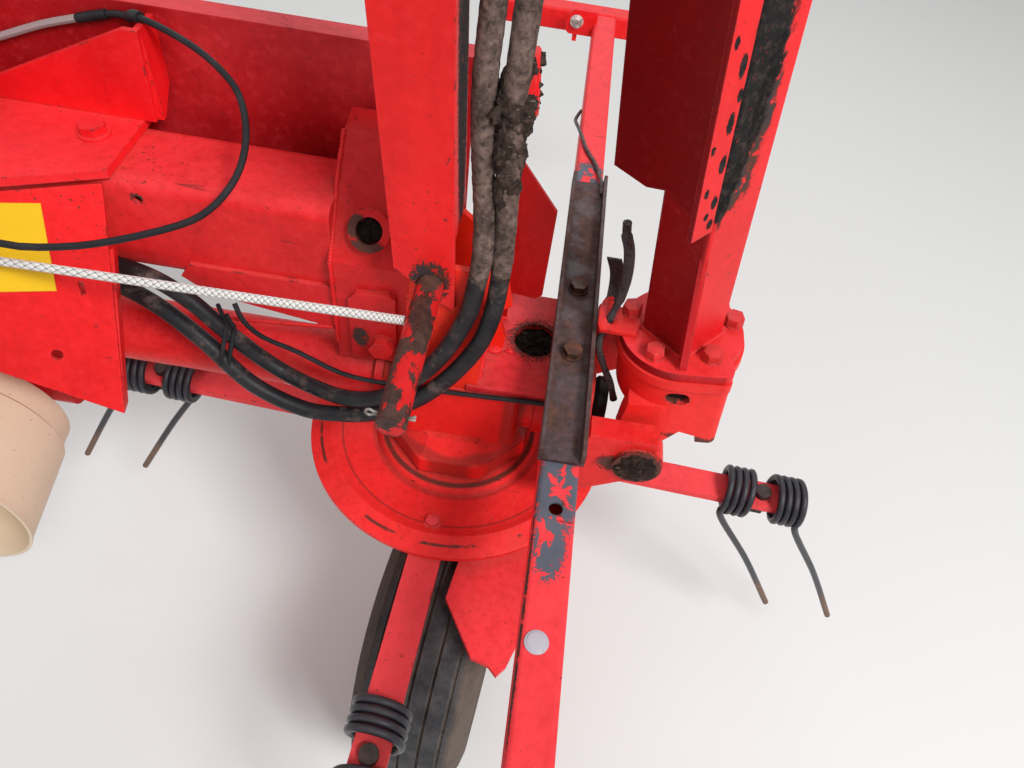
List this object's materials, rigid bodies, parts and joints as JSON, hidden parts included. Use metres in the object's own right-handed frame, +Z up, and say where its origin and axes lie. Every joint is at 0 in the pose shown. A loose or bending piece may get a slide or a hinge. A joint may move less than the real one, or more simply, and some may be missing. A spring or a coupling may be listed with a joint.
{
  "type": "inner rotor unit of a folding hay tedder",
  "caption": "Inner rotor unit of a folding hay tedder: beam, gearbox, spring-tine rotor over its wheel, and the hinged wing stub folded up.",
  "frame": {"origin": "middle of the outer face of the main beam's inboard bolting flange", "axes": "+Z up as on level ground, -Y the way the tractor drives, +X outboard along the beam to the wing"},
  "size_m": [1.3026, 1.4719, 1.25],
  "materials": {
    "red_paint": "glossy signal red, faded on top faces and chipped at edges",
    "dark_red_paint": "deeper red, chipped to dark primer",
    "black_rubber": "matt black, dusty",
    "spring_steel": "dark blue-black spring steel, rusty at the tips",
    "rusty_steel": "bare steel with brown rust",
    "plated_steel": "dull plated steel",
    "beige_plastic": "beige moulded plastic",
    "yellow_plate": "plain yellow plate",
    "rope": "white braided rope",
    "tyre": "worn black tyre with mud"
  },
  "bodies": {
    "frame": {"main_beam": "red_paint", "headstock_cap": "red_paint", "cap_bolts": "red_paint", "side_sheet": "red_paint", "sign_plate": "yellow_plate", "rear_guard": "red_paint", "rear_gusset": "red_paint", "centre_gearbox": "red_paint", "input_shaft": "plated_steel", "input_guard": "beige_plastic", "drive_housing": "red_paint", "end_bracket": "red_paint", "frame_plate": "red_paint", "gearbox_housing": "red_paint", "wheel_leg": "plated_steel", "wheel_bracket": "red_paint", "hinge_yoke": "red_paint", "hinge_pin": "rusty_steel", "mast": "red_paint", "mast_foot": "red_paint", "front_peg": "rusty_steel", "split_pin": "plated_steel", "pull_rope": "rope", "guard_bar": "red_paint", "cross_tube": "red_paint", "rusty_channel": "rusty_steel", "channel_bolts": "rusty_steel", "shield_plate": "red_paint", "hose_outer": "black_rubber", "hose_inner": "black_rubber", "hose_fittings": "plated_steel", "thin_cable": "black_rubber", "front_cable": "black_rubber", "joint_boot": "black_rubber"},
    "rotor": {"rotor_disc": "red_paint", "rotor_arms": "red_paint", "spring_tines": "spring_steel", "tine_bolts": "rusty_steel"},
    "wheel": {"rim": "red_paint", "tyre": "tyre"},
    "wing": {"wing_casting": "red_paint", "wing_beam": "red_paint", "wing_plate": "dark_red_paint"}
  },
  "joints": [
    {"name": "rotor_spin", "type": "hinge", "parent": "frame", "child": "rotor", "pos_m": [0.652, -0.032, -0.288], "axis": [0, 0, 1], "continuous": true},
    {"name": "wheel_spin", "type": "hinge", "parent": "frame", "child": "wheel", "pos_m": [0.668, -0.207, -0.533], "axis": [0.9945, -0.1045, 0], "continuous": true},
    {"name": "wing_fold", "type": "hinge", "parent": "frame", "child": "wing", "pos_m": [0.868, -0.032, -0.158], "axis": [0, 1, 0], "range_deg": [0, 97]}
  ]
}
